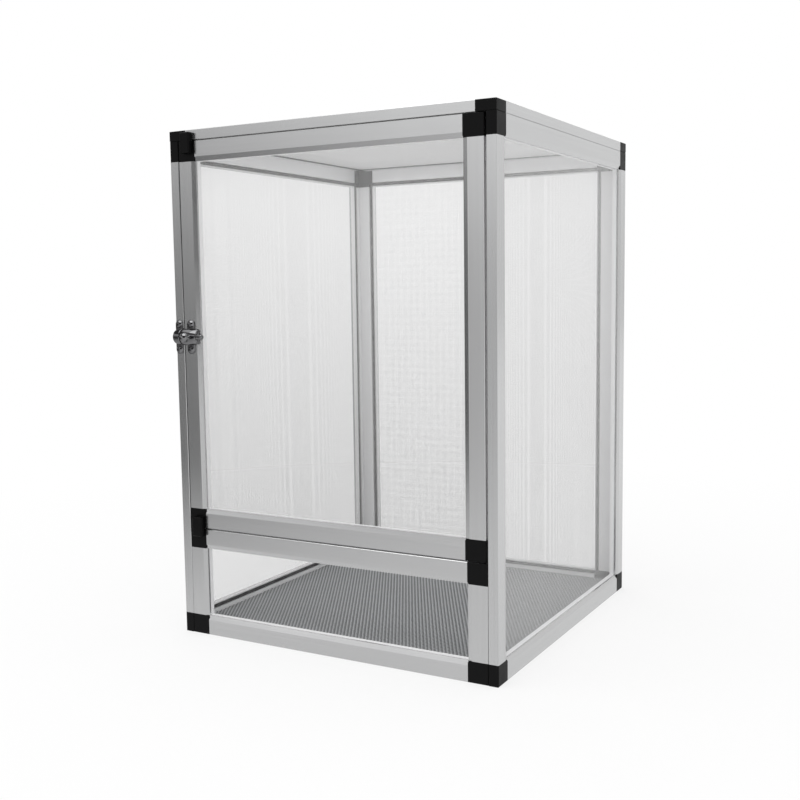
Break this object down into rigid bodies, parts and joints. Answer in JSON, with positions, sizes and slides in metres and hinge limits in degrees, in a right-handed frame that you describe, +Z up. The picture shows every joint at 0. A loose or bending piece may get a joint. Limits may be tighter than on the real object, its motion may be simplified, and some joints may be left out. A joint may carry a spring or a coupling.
{
  "type": "reptile terrarium",
  "caption": "Upright screen cage with mesh panels in bar frames, a hinged front door with a slide bolt over an open sill frame, for housing small reptiles or cage birds.",
  "frame": {"origin": "on the ground under the middle of the bounding box, with the bolt's knob counted in, so it lies 9.5 mm in front of the cage's own middle", "axes": "+X to the right as seen from the front, -Y to the front (the door), +Z up"},
  "size_m": [0.32, 0.339, 0.46],
  "materials": {
    "frame_aluminium": "satin",
    "black_plastic": "satin",
    "wire_mesh": "satin",
    "spline_rubber": "matt",
    "bolt_chrome": "polished",
    "pin_steel": "satin"
  },
  "bodies": {
    "frame": {"left_front_stile": "frame_aluminium", "left_rear_stile": "frame_aluminium", "left_top_rail": "frame_aluminium", "left_bottom_rail": "frame_aluminium", "left_corner_keys": "black_plastic", "left_mesh": "wire_mesh", "left_spline": "spline_rubber", "right_front_stile": "frame_aluminium", "right_rear_stile": "frame_aluminium", "right_top_rail": "frame_aluminium", "right_bottom_rail": "frame_aluminium", "right_corner_keys": "black_plastic", "right_mesh": "wire_mesh", "right_spline": "spline_rubber", "rear_left_stile": "frame_aluminium", "rear_right_stile": "frame_aluminium", "rear_top_rail": "frame_aluminium", "rear_bottom_rail": "frame_aluminium", "rear_corner_keys": "black_plastic", "rear_mesh": "wire_mesh", "rear_spline": "spline_rubber", "lid_left_rail": "frame_aluminium", "lid_right_rail": "frame_aluminium", "lid_front_rail": "frame_aluminium", "lid_rear_rail": "frame_aluminium", "lid_corner_keys": "black_plastic", "lid_mesh": "wire_mesh", "lid_spline": "spline_rubber", "floor_left_rail": "frame_aluminium", "floor_right_rail": "frame_aluminium", "floor_front_rail": "frame_aluminium", "floor_rear_rail": "frame_aluminium", "floor_corner_keys": "black_plastic", "floor_sheet": "wire_mesh", "sill_left_post": "frame_aluminium", "sill_right_post": "frame_aluminium", "sill_crossbar": "frame_aluminium", "sill_bottom_rail": "frame_aluminium", "sill_corner_keys": "black_plastic", "frame_pegs": "pin_steel", "upper_hinge_pin": "pin_steel", "lower_hinge_pin": "pin_steel", "bolt_keeper": "bolt_chrome", "keeper_screws": "bolt_chrome"},
    "door": {"door_latch_stile": "frame_aluminium", "door_hinge_stile": "frame_aluminium", "door_top_rail": "frame_aluminium", "door_bottom_rail": "frame_aluminium", "door_corner_keys": "black_plastic", "door_mesh": "wire_mesh", "door_spline": "spline_rubber", "door_stops": "black_plastic", "bolt_barrel": "bolt_chrome", "barrel_screws": "bolt_chrome"},
    "bolt": {"bolt_rod": "bolt_chrome", "bolt_knob": "bolt_chrome"}
  },
  "joints": [
    {"name": "door_hinge", "type": "hinge", "parent": "frame", "child": "door", "pos_m": [0.1447, -0.146, 0.1004], "axis": [0, 0, 1], "range_deg": [0, 105]},
    {"name": "bolt_slide", "type": "slide", "parent": "door", "child": "bolt", "axis": [-1, 0, 0], "range_m": [0, 0.0065]}
  ]
}
